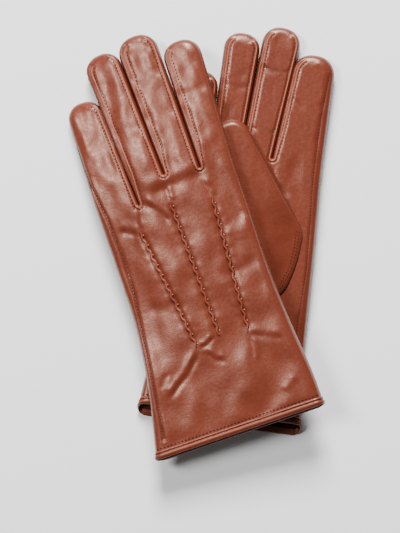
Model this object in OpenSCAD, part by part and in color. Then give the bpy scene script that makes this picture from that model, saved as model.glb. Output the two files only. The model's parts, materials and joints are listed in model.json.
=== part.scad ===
// A pair of lined leather gloves at rest on a flat surface.
// The right glove lies palm up with its thumb across the palm. The left glove lies on it, back up.
// Each glove is drawn in its own frame: +Y from the cuff to the fingertips, +X to the index finger,
// Z from 0 on the side that faces down to glove_t on the side that faces up.

/* [Glove] */
// Thickness of a glove, over its leather
glove_t = 11; // [10.5:0.5:12]
// Thickness of the leather
leather = 0.8; // [0.7:0.1:0.9]
// Thickness of the knitted lining
lining = 0.8; // [0.6:0.1:0.8]
// Running gap between parts that move past each other
gap = 0.3; // [0.2:0.1:0.4]

/* [Cuff] */
// Width of the bound edge of the cuff
binding_w = 5.5; // [4:0.5:7]
// How far the binding stands proud of the leather
binding_proud = 0.8; // [0.4:0.1:1]

/* [Thumb] */
// Thickness of the right thumb, which lies full on its palm
right_thumb_t = 8; // [7.5:0.5:9]
// Thickness of the left thumb, which is pressed flat under its palm
left_thumb_t = 4.5; // [4:0.5:5]
// Radius of the way from the palm into the thumb
thumb_hole_r = 9; // [7:0.5:10]

/* [Fingers] */
// How far a left finger folds up, in degrees
left_bend = 60; // [40:5:70]
// How far a right finger curls up, in degrees
right_bend = 65; // [40:5:65]

/* [Points] */
// Width of a sewn tuck on the back
tuck_w = 1.8; // [1.4:0.1:2.2]
// How far a tuck stands up where nothing presses on it
tuck_proud = 1; // [0.6:0.1:1.4]
// Distance between hand stitches along a tuck
stitch_pitch = 6.8; // [5:0.2:9]
// Thickness of the thread across a tuck
stitch_d = 0.9; // [0.6:0.1:1]

/* [Hidden] */
$fn = 40;
arc_parts = 18;            // straight parts in the round end of a finger
cut_w = 60;                // width of a cutting prism, more than any finger
cut_over = 0.05;           // how much wider than a finger its cut is
touch_r = 6;               // touch pad in an index fingertip or a thumb tip
touch_t = 0.4;
label_size = [16, 11, 0.4];

// Where the two gloves lie: the middle of the cuff, the turn seen from above, the tilt to the left
left_place = [24.38, -113.32];
left_turn = 14.5;
left_tilt = 5.5;
right_place = [12.08, -109.02];
right_turn = -9.2;
thumb_lift = 25;           // the left palm's distance from its axis where it rests on the right thumb
left_lift = glove_t + gap + right_thumb_t + gap + 0.6 - thumb_lift * sin(left_tilt);

// A finger is [root x, root y, root r, tip x, tip y, tip r, hinge y, droop, bend].
// The order is index, middle, ring, little. All the hinges of a glove are square to it, so that
// neighbouring fingers stay apart when they fold together.
INDEX = 0;
MIDDLE = 1;
RING = 2;
LITTLE = 3;
FINGER = ["index", "middle", "ring", "little"];
left_fingers = [
    [27.2, 157, 10.0, 23.4, 229.0, 11.4, 172.5, 5.0, left_bend],
    [5.9, 157, 10.6, -2.6, 238.5, 12.0, 172.5, 6.5, left_bend],
    [-15.6, 157, 10.1, -26.4, 233.8, 11.1, 172.5, 7.0, left_bend],
    [-39.8, 142, 12.4, -45.4, 209.0, 10.2, 158, 7.5, left_bend],
];
right_fingers = [
    [22.6, 160, 14.2, 23.2, 220.8, 12.0, 174, 0, right_bend],
    [-4.3, 160, 9.2, 0.2, 235.2, 11.4, 193, 0, right_bend],
    [-23.2, 160, 8.8, -23.4, 228.6, 10.8, 193, 0, right_bend],
    [-42.8, 142, 10.0, -44.8, 202.0, 9.9, 158, 0, 0],
];

// The hand's outline from the cuff up the index side, over the crotches and down the other side.
// It runs past the cuff, where the cuff's own cut trims it.
left_hand = [
    [54.6, -16], [52.2, 22], [49.6, 40], [46.0, 58], [43.0, 77], [41.5, 95], [41.2, 112], [40.0, 130], [37.6, 157],
    [17.4, 162], [-5.6, 163], [-24, 158], [-27, 148],
    [-52.4, 146], [-50.6, 130], [-48.4, 108], [-46.6, 85], [-46.1, 62], [-47.6, 38], [-50.3, 17], [-54.6, -16],
];
right_hand = [
    [51.2, -16], [48.6, 14], [45.5, 40], [43.5, 68], [42.3, 90], [41.0, 118], [39.4, 138], [37.2, 160],
    [6.6, 165], [-13.6, 163], [-31, 158], [-32, 148],
    [-52.6, 144], [-50.6, 130], [-48.4, 108], [-46.6, 85], [-46.1, 62], [-47.0, 38], [-48.6, 17], [-50.6, -16],
];

// The thumb's outline is the hull of three circles [x, y, r]: tip, outer corner and heel
left_thumb = [[-26, 146, 10.5], [8, 110, 10], [6, 88, 12]];
right_thumb = [[-20, 171, 12.3], [21.8, 119, 9.8], [13, 88, 13]];
left_thumb_hole = [5, 94];
right_thumb_hole = [12, 98];

// The three sewn tucks on the back, from the knuckles to the wrist
tucks = [[[-29, 133], [-12, 54.5]], [[-6, 146], [3, 58.5]], [[20, 141.5], [21, 56]]];

// A glove is [fingers, hand outline, thumb circles, thumb way, thumb thickness, palm up, cuff slant, cuff turn].
// The cuff slant is how far the upper lip lies behind the lower one.
LEFT = [left_fingers, left_hand, left_thumb, left_thumb_hole, left_thumb_t, false, 2, 4.6];
RIGHT = [right_fingers, right_hand, right_thumb, right_thumb_hole, right_thumb_t, true, 8, 1.5];
cuff_y = -3.4;             // the lower lip on the glove's axis

wall = leather + lining;
half_t = glove_t / 2;

SIDES = ["left", "right"];
HAND_PARTS = [
    "back_panel", "palm_panel", "fourchette_roots", "hand_lining", "cuff_binding", "point_tucks", "point_stitches",
    "care_label", "thumb_leather", "thumb_lining", "thumb_touch_pad", "index_touch_pad",
];
FINGER_PARTS = ["back_leaf", "palm_leaf", "fourchettes", "lining"];

leather_colour = [0.50, 0.22, 0.13];
trim_colour = [0.42, 0.17, 0.10];
thread_colour = [0.36, 0.14, 0.08];
lining_colour = [0.30, 0.20, 0.15];
pad_colour = [0.25, 0.25, 0.27];

// ---- small helpers ----

function turned(a) = [cos(a), sin(a)];
function finger_lean(f) = atan2(f[0] - f[3], f[4] - f[1]);
function hinge_x(f) = f[0] + (f[3] - f[0]) * (f[6] - f[1]) / (f[4] - f[1]);
function palm_up(glove) = glove[5];

// Half of the folding notch on the side that closes, and on the side that opens
function notch_above(f) = f[8] == 0 ? 0 : (f[8] - f[7]) / 2 + 0.5;
function notch_below(f) = f[8] == 0 ? 0 : f[7] / 2 + 0.5;
function hinge_gap(f) = f[8] == 0 ? 0 : gap / 2;

// The finger's frame: square to the glove, with its origin where the finger's middle meets the hinge
module at_hinge(f, droop = 0) {
    translate([hinge_x(f), f[6], half_t]) rotate([-droop, 0, 0]) children();
}

// A prism across the glove, from a profile drawn as [along, up]
module across(profile) {
    rotate([90, 0, 90]) linear_extrude(cut_w, center = true) polygon(profile);
}

// What a finger loses below its hinge, and what its stub on the hand loses above it
module below_hinge(f) {
    h = glove_t;
    g = hinge_gap(f);
    across([[g, 0], [g + h * tan(notch_above(f)), h], [-99, h], [-99, -h], [g + h * tan(notch_below(f)), -h]]);
}

module above_hinge(f) {
    h = glove_t;
    g = hinge_gap(f);
    across([[-g, 0], [-g - h * tan(notch_above(f)), h], [99, h], [99, -h], [-g - h * tan(notch_below(f)), -h]]);
}

// A finger seen from above: two round ends, and straight sides that touch both
module finger_plan(f, inset = 0) {
    length = norm([f[3] - f[0], f[4] - f[1]]);
    lean = asin((f[2] - f[5]) / length);
    step = (180 - 2 * lean) / arc_parts;
    back_step = (180 + 2 * lean) / arc_parts;
    translate([f[0], f[1]]) rotate(finger_lean(f)) polygon(concat(
        [for (i = [0 : arc_parts]) [0, length] + (f[5] - inset) * turned(lean + i * step)],
        [for (i = [0 : arc_parts]) (f[2] - inset) * turned(180 - lean + i * back_step)]
    ));
}

module finger_block(f, inset, low, high) {
    translate([-hinge_x(f), -f[6], low - half_t]) linear_extrude(high - low) finger_plan(f, inset);
}

// A hollow finger between two heights, with walls from one inset to the next
module finger_walls(f, outer, inner, low, high) {
    difference() {
        finger_block(f, outer, low, high);
        finger_block(f, inner, low - 1, high + 1);
    }
}

// The half of a finger on its outer side, as a box for intersection
module outer_side(index) {
    side = index == INDEX ? 1 : -1;
    translate([side * 50, 0, 0]) cube([100, 400, 100], center = true);
}

function has_side_seam(index) = index == INDEX || index == LITTLE;

// ---- fingers ----

// One leaf is a plate, and on the index and little fingers it turns over the side to the seam
module finger_leaf(glove, index, upper) {
    f = glove[0][index];
    low = upper ? glove_t - leather : 0;
    rim_low = upper ? half_t : leather;
    rim_high = upper ? glove_t - leather : half_t;
    at_hinge(f, f[7]) difference() {
        union() {
            finger_block(f, 0, low, low + leather);
            if (has_side_seam(index)) intersection() {
                finger_walls(f, 0, leather, rim_low, rim_high);
                outer_side(index);
            }
        }
        below_hinge(f);
    }
}

module fourchettes(glove, index) {
    f = glove[0][index];
    at_hinge(f, f[7]) difference() {
        finger_walls(f, 0, leather, leather, glove_t - leather);
        below_hinge(f);
        if (has_side_seam(index)) outer_side(index);
    }
}

module finger_lining(glove, index) {
    f = glove[0][index];
    difference() {
        at_hinge(f, f[7]) difference() {
            finger_block(f, leather, leather, glove_t - leather);
            finger_block(f, wall, wall, glove_t - wall);
            below_hinge(f);
        }
        if (index == INDEX) index_touch_pad(glove);
    }
}

// The pad lies between the leather and the lining, on the palm side of the fingertip
module index_touch_pad(glove) {
    f = glove[0][INDEX];
    low = palm_up(glove) ? glove_t - leather - touch_t : leather;
    at_hinge(f, f[7]) translate([f[3] - hinge_x(f), f[4] - f[6], low - half_t])
        cylinder(h = touch_t, r = touch_r);
}

// ---- hand ----

// The hand and its fingers seen from above, as one outline
module hand_plan(glove, inset) {
    offset(delta = 0) {
        offset(delta = -inset) polygon(glove[1]);
        for (f = glove[0]) finger_plan(f, inset);
    }
}

module hand_block(glove, inset, low, high) {
    translate([0, 0, low]) linear_extrude(high - low) hand_plan(glove, inset);
}

// The fingers beyond their hinges, a little wider than they are, to be cut off the hand
module finger_cuts(glove) {
    for (f = glove[0]) at_hinge(f) intersection() {
        finger_block(f, -cut_over, -1, glove_t + 1);
        above_hinge(f);
    }
}

// What lies past a line across the cuff: the lips slant, so the lower one reaches further
module past_cuff(glove, distance, reach) {
    slope = glove[6] / glove_t;
    high = glove_t + 5;
    translate([0, cuff_y + distance, 0]) rotate([0, 0, glove[7]]) rotate([90, 0, 90])
        linear_extrude(200, center = true)
            polygon([[-5 * slope, -5], [high * slope, high], [reach, high], [reach, -5]]);
}

module beyond_cuff(glove, distance) {
    past_cuff(glove, distance, -60);
}

// The places between neighbouring fingers, where the fourchettes start
module crotch_zones(glove) {
    for (i = [INDEX : RING]) {
        a = glove[0][i];
        b = glove[0][i + 1];
        translate([0, 0, -1]) linear_extrude(glove_t + 2)
            polygon([[a[0], a[1] - 6], [a[0], 230], [b[0], 230], [b[0], b[1] - 6]]);
    }
}

module hand_walls(glove, low, high) {
    difference() {
        hand_block(glove, 0, low, high);
        hand_block(glove, leather, low - 1, high + 1);
    }
}

module thumb_way(glove, low, high) {
    translate([glove[3][0], glove[3][1], low]) cylinder(h = high - low, r = thumb_hole_r);
}

// A panel is a plate whose rim turns over the sides to the seams
module hand_panel(glove, upper) {
    low = upper ? glove_t - leather : 0;
    rim_low = upper ? half_t : leather;
    rim_high = upper ? glove_t - leather : half_t;
    difference() {
        union() {
            hand_block(glove, 0, low, low + leather);
            difference() {
                hand_walls(glove, rim_low, rim_high);
                crotch_zones(glove);
            }
        }
        beyond_cuff(glove, binding_w);
        finger_cuts(glove);
        if (upper == palm_up(glove)) thumb_way(glove, low - 1, low + leather + 1);
        if (upper != palm_up(glove)) tuck_strips(glove, 1);
    }
}

module fourchette_roots(glove) {
    difference() {
        intersection() {
            hand_walls(glove, leather, glove_t - leather);
            crotch_zones(glove);
        }
        finger_cuts(glove);
    }
}

module hand_lining(glove) {
    palm_low = palm_up(glove) ? half_t : -1;
    difference() {
        hand_block(glove, leather, leather, glove_t - leather);
        hand_block(glove, wall, wall, glove_t - wall);
        beyond_cuff(glove, binding_w);
        finger_cuts(glove);
        thumb_way(glove, palm_low, palm_low + half_t + 1);
        care_label(glove);
    }
}

// The binding wraps the raw edges of leather and lining, and lies flat where the glove rests on it
module cuff_binding(glove) {
    low = palm_up(glove) ? 0 : -binding_proud;
    difference() {
        translate([0, 0, low]) linear_extrude(glove_t + binding_proud - low)
            offset(delta = binding_proud) polygon(glove[1]);
        translate([0, 0, wall]) linear_extrude(glove_t - 2 * wall) offset(delta = -wall) polygon(glove[1]);
        beyond_cuff(glove, 0);
        past_cuff(glove, binding_w, 300);
    }
}

// ---- the three points on the back ----

module strip(from, to, w, low, high) {
    d = to - from;
    translate([from[0], from[1], low]) rotate([0, 0, atan2(d[1], d[0])])
        translate([0, -w / 2, 0]) cube([norm(d), w, high - low]);
}

// A tuck is let half way into the leather of the back, and stands proud of it by a given height
module tuck_strips(glove, proud) {
    low = palm_up(glove) ? -proud : glove_t - leather / 2;
    for (t = tucks) strip(t[0], t[1], tuck_w, low, low + leather / 2 + proud);
}

module point_tucks(glove) {
    difference() {
        tuck_strips(glove, palm_up(glove) ? 0 : tuck_proud);
        point_stitches(glove);
    }
}

// A stitch stands half out of its tuck, or is pressed flush where the glove rests on it
module stitch(glove) {
    if (palm_up(glove)) translate([0, 0, stitch_d / 8]) cube([stitch_d, tuck_w, stitch_d / 4], center = true);
    else translate([0, 0, glove_t + tuck_proud]) rotate([90, 0, 0]) cylinder(h = tuck_w, d = stitch_d, center = true);
}

// One stitch crosses each tuck at every pitch
module point_stitches(glove) {
    for (t = tucks) {
        d = t[1] - t[0];
        count = floor(norm(d) / stitch_pitch);
        for (i = [1 : count - 1])
            translate([t[0][0], t[0][1], 0] + i / count * [d[0], d[1], 0]) rotate([0, 0, atan2(d[1], d[0])])
                stitch(glove);
    }
}

// ---- label and thumb ----

// A blank label against the inside of the back, at the cuff
module care_label(glove) {
    low = palm_up(glove) ? wall - label_size[2] : glove_t - wall;
    y = palm_up(glove) ? 6 : 10;
    translate([22, y, low]) cube(label_size);
}

function thumb_low(glove) = palm_up(glove) ? glove_t + gap : -gap - glove[4];

module thumb_block(glove, inset) {
    low = thumb_low(glove) + inset;
    translate([0, 0, low]) linear_extrude(glove[4] - 2 * inset)
        hull() for (c = glove[2]) translate([c[0], c[1]]) circle(c[2] - inset);
}

// The way in is on the side of the thumb that lies against the palm
module thumb_mouth(glove) {
    low = palm_up(glove) ? thumb_low(glove) - 1 : thumb_low(glove) + glove[4] / 2;
    thumb_way(glove, low, low + glove[4] / 2 + 1);
}

module thumb_leather(glove) {
    difference() {
        thumb_block(glove, 0);
        thumb_block(glove, leather);
        thumb_mouth(glove);
    }
}

module thumb_lining(glove) {
    difference() {
        thumb_block(glove, leather);
        thumb_block(glove, wall);
        thumb_mouth(glove);
        thumb_touch_pad(glove);
    }
}

module thumb_touch_pad(glove) {
    low = palm_up(glove) ? thumb_low(glove) + leather : thumb_low(glove) + glove[4] - leather - touch_t;
    translate([glove[2][0][0], glove[2][0][1], low]) cylinder(h = touch_t, r = touch_r);
}

// ---- the pair ----

module place(side) {
    if (side == "left")
        translate([left_place[0], left_place[1], left_lift]) rotate([0, 0, left_turn]) rotate([0, -left_tilt, 0])
            children();
    else
        translate([right_place[0], right_place[1], 0]) rotate([0, 0, right_turn]) children();
}

module hand_part(glove, part) {
    if (part == "back_panel") color(leather_colour) hand_panel(glove, !palm_up(glove));
    if (part == "palm_panel") color(leather_colour) hand_panel(glove, palm_up(glove));
    if (part == "fourchette_roots") color(trim_colour) fourchette_roots(glove);
    if (part == "hand_lining") color(lining_colour) hand_lining(glove);
    if (part == "cuff_binding") color(trim_colour) cuff_binding(glove);
    if (part == "point_tucks") color(trim_colour) point_tucks(glove);
    if (part == "point_stitches") color(thread_colour) point_stitches(glove);
    if (part == "care_label") color(pad_colour) care_label(glove);
    if (part == "thumb_leather") color(leather_colour) thumb_leather(glove);
    if (part == "thumb_lining") color(lining_colour) thumb_lining(glove);
    if (part == "thumb_touch_pad") color(pad_colour) thumb_touch_pad(glove);
    if (part == "index_touch_pad") color(pad_colour) index_touch_pad(glove);
}

module finger_part(glove, index, part) {
    if (part == "back_leaf") color(leather_colour) finger_leaf(glove, index, !palm_up(glove));
    if (part == "palm_leaf") color(leather_colour) finger_leaf(glove, index, palm_up(glove));
    if (part == "fourchettes") color(trim_colour) fourchettes(glove, index);
    if (part == "lining") color(lining_colour) finger_lining(glove, index);
}

for (side = SIDES) {
    glove = side == "left" ? LEFT : RIGHT;
    for (part = HAND_PARTS)
        place(side) hand_part(glove, part);
    for (index = [INDEX : LITTLE], part = FINGER_PARTS)
        place(side) finger_part(glove, index, part);
}
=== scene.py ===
import json
import math

import bmesh
import bpy
import numpy as np
from mathutils import Matrix, Vector, kdtree, noise
from mathutils.bvhtree import BVHTree

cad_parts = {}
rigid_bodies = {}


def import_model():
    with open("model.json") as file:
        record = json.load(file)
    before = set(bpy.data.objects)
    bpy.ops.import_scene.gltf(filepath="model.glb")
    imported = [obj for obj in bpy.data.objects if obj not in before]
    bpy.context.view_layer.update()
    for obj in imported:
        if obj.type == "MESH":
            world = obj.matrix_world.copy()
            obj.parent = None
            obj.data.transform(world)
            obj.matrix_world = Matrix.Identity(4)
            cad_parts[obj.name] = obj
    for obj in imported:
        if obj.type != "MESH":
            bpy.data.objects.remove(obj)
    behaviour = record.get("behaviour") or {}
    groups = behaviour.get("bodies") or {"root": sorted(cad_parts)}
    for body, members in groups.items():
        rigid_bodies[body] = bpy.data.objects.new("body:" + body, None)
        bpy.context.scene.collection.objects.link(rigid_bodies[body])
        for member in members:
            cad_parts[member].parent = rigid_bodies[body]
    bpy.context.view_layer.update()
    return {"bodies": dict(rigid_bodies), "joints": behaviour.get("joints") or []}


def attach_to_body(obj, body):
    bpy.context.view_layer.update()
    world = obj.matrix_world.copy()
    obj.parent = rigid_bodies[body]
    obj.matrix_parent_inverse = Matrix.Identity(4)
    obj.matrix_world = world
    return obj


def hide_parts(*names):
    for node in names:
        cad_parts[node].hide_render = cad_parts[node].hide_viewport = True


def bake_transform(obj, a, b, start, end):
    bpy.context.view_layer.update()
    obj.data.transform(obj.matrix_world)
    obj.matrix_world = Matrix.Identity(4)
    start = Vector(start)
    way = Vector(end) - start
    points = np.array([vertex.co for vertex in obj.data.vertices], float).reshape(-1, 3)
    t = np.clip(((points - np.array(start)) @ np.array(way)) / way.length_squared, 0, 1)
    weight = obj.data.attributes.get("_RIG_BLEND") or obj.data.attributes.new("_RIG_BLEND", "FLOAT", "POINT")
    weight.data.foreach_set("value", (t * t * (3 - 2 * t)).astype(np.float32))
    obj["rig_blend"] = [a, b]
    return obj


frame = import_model()
mm = 0.001

# Each glove is shaped in its own frame, in millimetres: +Y from cuff to fingertips, +X to the index
# finger, z = 0 on the side that faces down. The frame's joints say where that frame lies.
# A finger is root x, root y, root radius, tip x, tip y, tip radius, hinge y and droop in degrees.
# An edge goes up the index side from beyond the cuff, or down the little side: x, y, rounding.
# A crease is its points, its half width, its depth and the height of the ridge beside it.
gloveThickness = 11.0
leftGlove = {
    "side": "left",
    "fingers": {
        "index": (27.2, 157, 10.0, 23.4, 229.0, 11.4, 172.5, 5.0),
        "middle": (5.9, 157, 10.6, -2.6, 238.5, 12.0, 172.5, 6.5),
        "ring": (-15.6, 157, 10.1, -26.4, 233.8, 11.1, 172.5, 7.0),
        "little": (-39.8, 142, 12.4, -45.4, 209.0, 10.2, 158, 7.5),
    },
    "crotches": [(17.2, 161.5), (-5.4, 163), (-25.4, 148.5)],
    "cuts": {"index": 166, "middle": 166, "ring": 166, "little": 151.5},
    "indexEdge": [
        (55.4, -16, 7), (52.2, 22, 10), (46.0, 58, 15), (41.5, 95, 18), (40.2, 128, 15), (37.6, 157, 12),
    ],
    "littleEdge": [
        (-51.6, 142, 12), (-48.2, 106, 18), (-46, 70, 18), (-47.6, 38, 15), (-50.9, 14, 10), (-55.4, -16, 7),
    ],
    "cuffSlant": 2.0,           # how far the upper lip stands inside the lower one
    "cuffTurn": 4.6,            # degrees
    "handTop": 5.3,             # fullness above and below the middle
    "handBottom": 5.0,
    "fingerTop": 6.0,
    "fingerBottom": 5.2,
    "sag": 6.0,                 # of the side that has nothing underneath
    "seed": 3.7,
    "farInset": 3.2,            # of a finger seam on the side that shows its gusset
    "seamDepth": 0.8,
    "sideSeam": [
        (-55.0, 192), (-52.5, 170), (-47, 146), (-43.5, 120), (-42.5, 95), (-43.5, 70), (-44.2, 47),
        (-45.5, 15), (-46.6, 3),
    ],
    "creases": [
        ([(-38, 26), (-29, 35), (-22, 40), (-16, 47), (-11, 54)], 1.6, 0.8, 0.8),
        ([(-33, 44), (-37, 40), (-41, 34)], 1.4, 0.4, 0.3),
        ([(-11, 54), (-6, 55), (0, 59)], 1.0, 0.8, 0.6),
        ([(-9, 52), (-4, 45), (4, 42)], 1.8, 0.5, 0.4),
        ([(20, 55), (31, 51), (42, 47)], 2.0, 0.35, 0.3),
        ([(21, 54), (21, 47), (19, 38)], 1.3, 0.35, 0.3),
        ([(-20, 152), (-2, 156), (11, 157.5), (24, 157)], 3.4, 0.5, 0.7),
        ([(-24, 151), (-14, 141), (-8, 132)], 2.0, 0.5, 0.4),
        ([(-42, 136), (-36, 134), (-31, 131)], 2.0, 0.5, 0.3),
        ([(-13, 243.5), (-3, 243), (7, 240)], 3.0, 0.4, 0.3),
        ([(-27, 150), (-29, 134)], 1.2, 0.4, 0.5),
        ([(-6, 156), (-6, 146)], 1.2, 0.4, 0.6),
        ([(17, 155), (19.5, 142)], 1.2, 0.4, 0.6),
        ([(34, 12), (38, 15), (45, 21)], 1.8, 0.1, 0.35),
        ([(40, 100), (24, 94), (10, 97)], 4.0, 0.4, 0.3),
        ([(-38, 86), (-25, 82), (-12, 86)], 4.0, 0.4, 0.3),
        ([(38, 130), (30, 124), (24, 126)], 3.5, 0.35, 0.3),
        ([(36, 212), (24, 206), (12, 209)], 3.5, 0.45, 0.3),
        ([(12, 202), (0, 196), (-12, 200)], 4.0, 0.5, 0.4),
        ([(-10, 196), (-22, 190), (-33, 194)], 4.0, 0.4, 0.3),
        ([(8, 228), (-2, 222), (-13, 226)], 3.5, 0.5, 0.5),
    ],
}
rightGlove = {
    "side": "right",
    "fingers": {
        "index": (22.6, 160, 14.2, 23.2, 220.8, 12.0, 174, 0),
        "middle": (-4.3, 160, 9.2, 0.2, 235.2, 11.4, 193, 0),
        "ring": (-23.2, 160, 8.8, -23.4, 228.6, 10.8, 193, 0),
        "little": (-42.8, 142, 10.0, -44.8, 202.0, 9.9, 158, 0),
    },
    "crotches": [(6.2, 165.5), (-13.8, 164), (-32.2, 150)],
    "cuts": {"index": 168, "middle": 187, "ring": 187, "little": 152},
    "indexEdge": [
        (51.4, -16, 7), (48.6, 14, 10), (44.6, 48, 15), (42.8, 80, 18), (40.6, 122, 18), (37.4, 160, 15),
    ],
    "littleEdge": [
        (-51.6, 142, 12), (-48.2, 106, 18), (-46, 70, 18), (-47, 38, 15), (-50, 12, 10), (-51.4, -16, 7),
    ],
    "cuffSlant": 8.0,
    "cuffTurn": 1.5,
    "handTop": 5.2,
    "handBottom": 5.4,
    "fingerTop": 5.6,
    "fingerBottom": 5.3,
    "sag": 0.0,
    "seed": 11.3,
    "farInset": 2.2,
    "seamDepth": 0.4,
    "sideSeam": [(33, 222), (32, 195), (33, 157), (36, 127), (38, 102), (38, 65), (39, 40), (40, 8)],
    "creases": [
        ([(-12, 222), (-2, 219), (10, 221)], 2.0, 0.5, 0.4),
        ([(8, 205), (22, 201), (35, 204)], 3.0, 0.3, 0.3),
        ([(-35, 209), (-24, 205), (-13, 208)], 2.5, 0.3, 0.3),
        ([(-12, 184), (-3, 180), (6, 183)], 2.0, 0.4, 0.4),
        ([(-14, 160), (-6, 154), (0, 150)], 1.6, 0.5, 0.5),
        ([(6, 161), (12, 150), (22, 143)], 2.5, 0.4, 0.4),
        ([(38, 60), (31, 52), (20, 50)], 2.5, 0.4, 0.4),
    ],
}
fingerOrder = ["index", "middle", "ring", "little"]
cuffStart = -3.4                # the lower lip on the glove's axis
outlineStart = -15.5            # the outline below this is cut away


def placeOf(glove):
    # The hinges of a glove run along its own X, and its Y lies level
    joint = next(j for j in frame["joints"] if j["name"] == glove["side"] + "_index_fold")
    across = Vector(joint["axis"]).normalized()
    along = Vector((0, 0, 1)).cross(across).normalized()
    turn = Matrix((across, along, across.cross(along))).transposed()
    f = glove["fingers"]["index"]
    hingeX = f[0] + (f[3] - f[0]) * (f[6] - f[1]) / (f[4] - f[1])
    pivot = Vector((hingeX, f[6], gloveThickness / 2)) * mm
    return Matrix.Translation(Vector(joint["pos_m"]) - turn @ pivot) @ turn.to_4x4() @ Matrix.Scale(mm, 4)


for glove in (leftGlove, rightGlove):
    glove["place"] = placeOf(glove)
print("gloves placed")


def soft(t):
    t = np.clip(t, 0, 1)
    return t * t * (3 - 2 * t)


def bump(distance, width):
    return np.exp(-((distance / width) ** 2))


def waves(co, size, seed):
    # smooth noise between about -1 and 1, with features of that size in each direction
    scaled = co / np.array(size)
    return np.array([noise.noise(Vector((p[0], p[1], p[2] + seed))) for p in scaled]) * 1.6


def strokeField(xy, points):
    # distance to a line of points, the side of it, and how far along it, from 0 to 1
    points = np.array(points, float)
    steps = np.diff(points, axis=0)
    lengths = np.hypot(*steps.T)
    starts = np.concatenate([[0], np.cumsum(lengths)])
    best = np.full(len(xy), 1e9)
    side = np.zeros(len(xy))
    along = np.zeros(len(xy))
    for a, step, length, start in zip(points, steps, lengths, starts):
        rel = xy - a
        t = np.clip(rel @ step / length**2, 0, 1)
        off = rel - t[:, None] * step
        d = np.hypot(*off.T)
        near = d < best
        best[near] = d[near]
        side[near] = np.sign(step[0] * rel[:, 1] - step[1] * rel[:, 0])[near]
        along[near] = (start + t * length)[near]
    return best, side, along / starts[-1]


def tipCorners(glove, name):
    # the corners of the square end that a fingertip is rounded from, the index side first
    f = glove["fingers"][name]
    tip = Vector(f[3:5])
    ahead = (tip - Vector(f[:2])).normalized()
    side = Vector((ahead.y, -ahead.x)) * f[5]
    return tip + ahead * f[5] + side, tip + ahead * f[5] - side


def cornersOf(glove):
    corners = list(glove["indexEdge"])
    for order, name in enumerate(fingerOrder):
        rounding = 0.92 * glove["fingers"][name][5]
        corners += [(corner.x, corner.y, rounding) for corner in tipCorners(glove, name)]
        if order < 3:
            x, y = glove["crotches"][order]
            corners += [(x + 0.5, y, 0.45), (x - 0.5, y, 0.45)]
    return corners + list(glove["littleEdge"])


def roundedFace(bm, corners, step):
    # one flat face whose corners are rounded, with its long edges cut to about one step
    verts = [bm.verts.new((x, y, 0)) for x, y, _ in corners]
    bm.faces.new(verts)
    limits = [0.45 * min(e.calc_length() for e in vert.link_edges) for vert in verts]
    for vert, (_, _, rounding), limit in zip(verts, corners, limits):
        bmesh.ops.bevel(
            bm, geom=[vert], offset=min(rounding, limit), offset_type="OFFSET", profile=0.5,
            segments=4 if rounding < 2 else 9, affect="VERTICES", material=-1,
        )
    for edge in list(bm.edges):
        cuts = int(edge.calc_length() / step)
        if cuts:
            bmesh.ops.subdivide_edges(bm, edges=[edge], cuts=cuts)
    bm.faces.ensure_lookup_table()
    return bm.faces[0]


def withEdges(faces):
    # the faces with their corners and edges, each once and always in the same order
    verts = dict.fromkeys(v for f in faces for v in f.verts)
    edges = dict.fromkeys(e for f in faces for e in f.edges)
    return [*verts, *edges, *faces]


def cutAtMarks(bm, faces, axis, marks):
    # cuts at the middle mark, then does the same to each half
    if not marks or not faces:
        return
    middle = len(marks) // 2
    normal = Vector((0, 0, 0))
    normal[axis] = 1
    cut = bmesh.ops.bisect_plane(
        bm, geom=withEdges(faces), dist=0.06, plane_co=normal * marks[middle], plane_no=normal
    )
    halves = ([], [])
    for f in cut["geom"]:
        if isinstance(f, bmesh.types.BMFace):
            halves[int(f.calc_center_median()[axis] > marks[middle])].append(f)
    cutAtMarks(bm, halves[0], axis, marks[:middle])
    cutAtMarks(bm, halves[1], axis, marks[middle + 1 :])


def flatSkin(corners, step, rings, cell, cuff=None, cuffRows=()):
    # two layers, at z = 0 and z = 1, joined round the outline and open at the cuff
    bm = bmesh.new()
    inGrid = bm.faces.layers.int.new("inGrid")
    inner = roundedFace(bm, corners, step)
    outline = np.array([v.co.xy for v in inner.verts])
    for ring in rings:
        bmesh.ops.inset_individual(bm, faces=[inner], thickness=ring, use_even_offset=True)
    inner[inGrid] = 1
    low, high = outline.min(axis=0), outline.max(axis=0)
    for axis in (0, 1):
        faces = [f for f in bm.faces if f[inGrid]]
        cutAtMarks(bm, faces, axis, list(np.arange(low[axis] + cell / 2, high[axis], cell)))
    bm.faces.layers.int.remove(inGrid)
    if cuff:
        spot, away = cuff
        everything = list(bm.verts) + list(bm.edges) + list(bm.faces)
        bmesh.ops.bisect_plane(
            bm, geom=everything, dist=0.05, plane_co=spot, plane_no=away, clear_outer=True
        )
        for row in cuffRows:
            near = [f for f in bm.faces if (f.calc_center_median() - spot).dot(away) > -row - 3]
            bmesh.ops.bisect_plane(
                bm, geom=withEdges(near), dist=0.03, plane_co=spot - away * row, plane_no=away
            )
    up = bmesh.ops.extrude_face_region(bm, geom=list(bm.faces), use_keep_orig=True)
    raised = [g for g in up["geom"] if isinstance(g, bmesh.types.BMVert)]
    bmesh.ops.translate(bm, verts=raised, vec=(0, 0, 1))
    if cuff:
        walls = [f for f in bm.faces if 0.1 < f.calc_center_median().z < 0.9]
        atCuff = [f for f in walls if abs((f.calc_center_median() - spot).dot(away)) < 0.08]
        bmesh.ops.delete(bm, geom=atCuff, context="FACES")
    uprights = [e for e in bm.edges if abs(e.verts[0].co.z - e.verts[1].co.z) > 0.5]
    bmesh.ops.subdivide_edges(bm, edges=uprights, cuts=3, use_grid_fill=True)
    bmesh.ops.recalc_face_normals(bm, faces=list(bm.faces))
    return bm, outline


def arrayOf(bm):
    return np.array([v.co for v in bm.verts])


def setPoints(bm, points):
    for vert, p in zip(bm.verts, points):
        vert.co = p


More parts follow.
